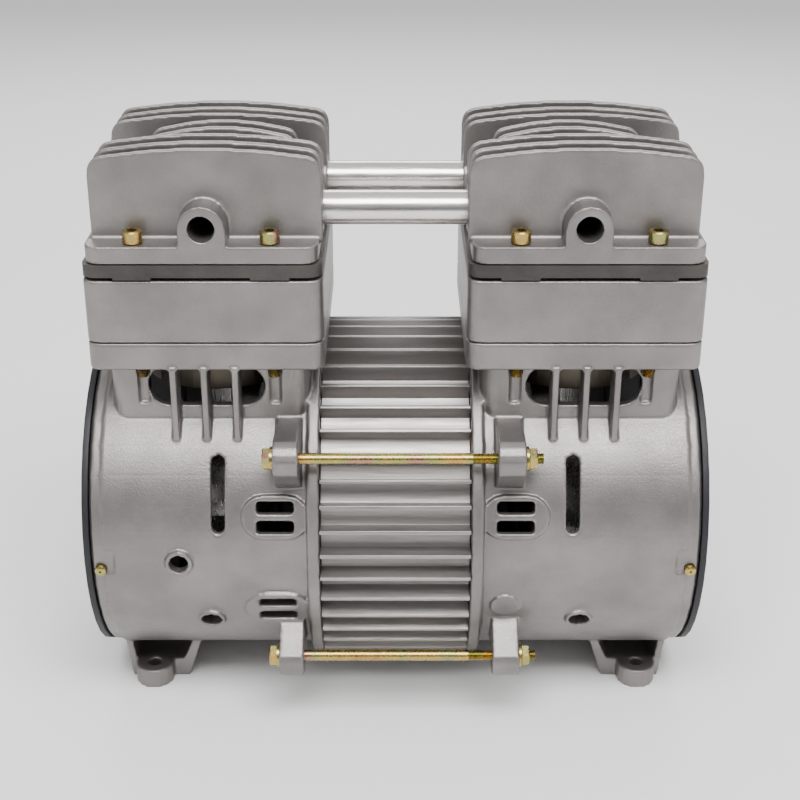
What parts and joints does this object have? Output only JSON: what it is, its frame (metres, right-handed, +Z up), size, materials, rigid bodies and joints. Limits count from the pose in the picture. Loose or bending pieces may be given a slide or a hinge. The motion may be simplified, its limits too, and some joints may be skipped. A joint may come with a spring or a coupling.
{
  "type": "air compressor",
  "caption": "Oil-free twin piston air compressor pump: central finned motor, a crankcase, cylinder and finned head at each end, joined by transfer tubes.",
  "frame": {"origin": "middle of the footprint, on the surface that the four feet stand on", "axes": "+X along the motor shaft, from the left pump to the right one; +Z up; the two air ports face -Y"},
  "size_m": [0.276, 0.1684, 0.2635],
  "materials": {
    "cast_aluminium": "die cast, fine grained, satin",
    "extruded_aluminium": "extruded, satin",
    "black_plastic": "moulded, fine texture",
    "dark_plate": "dark, matt",
    "yellow_zinc": "zinc plated, yellow passivated, iridescent",
    "polished_tube": "drawn and polished",
    "hard_anodised": "hard anodised bore",
    "piston_seal": "filled PTFE",
    "machined_aluminium": "machined",
    "fan_plastic": "moulded",
    "copper_winding": "enamelled wire",
    "laminated_steel": "stacked laminations",
    "bright_steel": "ground"
  },
  "bodies": {
    "housing": {"cover_screw_left_front": "yellow_zinc", "cover_screw_left_rear": "yellow_zinc", "cover_screw_right_front": "yellow_zinc", "cover_screw_right_rear": "yellow_zinc", "crankcase_left": "cast_aluminium", "crankcase_right": "cast_aluminium", "cylinder_block_left": "cast_aluminium", "cylinder_block_right": "cast_aluminium", "cylinder_head_left": "cast_aluminium", "cylinder_head_right": "cast_aluminium", "cylinder_sleeve_left": "hard_anodised", "cylinder_sleeve_right": "hard_anodised", "end_cover_left": "black_plastic", "end_cover_right": "black_plastic", "exhaust_reed_left": "bright_steel", "exhaust_reed_right": "bright_steel", "head_screw_left_inner_front": "yellow_zinc", "head_screw_left_inner_rear": "yellow_zinc", "head_screw_left_outer_front": "yellow_zinc", "head_screw_left_outer_rear": "yellow_zinc", "head_screw_right_inner_front": "yellow_zinc", "head_screw_right_inner_rear": "yellow_zinc", "head_screw_right_outer_front": "yellow_zinc", "head_screw_right_outer_rear": "yellow_zinc", "intake_reed_left": "bright_steel", "intake_reed_right": "bright_steel", "main_bearing_left": "bright_steel", "main_bearing_right": "bright_steel", "motor_shell": "extruded_aluminium", "stator_core": "laminated_steel", "stator_winding_left": "copper_winding", "stator_winding_right": "copper_winding", "through_bolt_lower_front": "yellow_zinc", "through_bolt_lower_rear": "yellow_zinc", "through_bolt_upper_front": "yellow_zinc", "through_bolt_upper_rear": "yellow_zinc", "through_nut_lower_front": "yellow_zinc", "through_nut_lower_rear": "yellow_zinc", "through_nut_upper_front": "yellow_zinc", "through_nut_upper_rear": "yellow_zinc", "transfer_tube_front": "polished_tube", "transfer_tube_rear": "polished_tube", "valve_plate_left": "dark_plate", "valve_plate_right": "dark_plate"},
    "shaft": {"motor_shaft": "bright_steel", "rotor": "laminated_steel", "cooling_fan_left": "fan_plastic", "eccentric_left": "bright_steel", "cooling_fan_right": "fan_plastic", "eccentric_right": "bright_steel"},
    "rod_left": {"connecting_rod_left": "machined_aluminium", "rod_bearing_left": "bright_steel", "piston_cup_left": "piston_seal", "cup_retainer_left": "machined_aluminium"},
    "rod_right": {"connecting_rod_right": "machined_aluminium", "rod_bearing_right": "bright_steel", "piston_cup_right": "piston_seal", "cup_retainer_right": "machined_aluminium"}
  },
  "joints": [
    {"name": "crank_spin", "type": "hinge", "parent": "housing", "child": "shaft", "pos_m": [0, 0, 0.0853], "axis": [1, 0, 0], "continuous": true},
    {"name": "rod_left_turn", "type": "hinge", "parent": "shaft", "child": "rod_left", "pos_m": [-0.0815, 0, 0.0923], "axis": [1, 0, 0], "continuous": true},
    {"name": "rod_right_turn", "type": "hinge", "parent": "shaft", "child": "rod_right", "pos_m": [0.0815, 0, 0.0783], "axis": [1, 0, 0], "continuous": true}
  ],
  "couplings": [
    {"joint": "rod_left_turn", "follows": "crank_spin", "ratio": -1},
    {"joint": "rod_right_turn", "follows": "crank_spin", "ratio": -1}
  ]
}
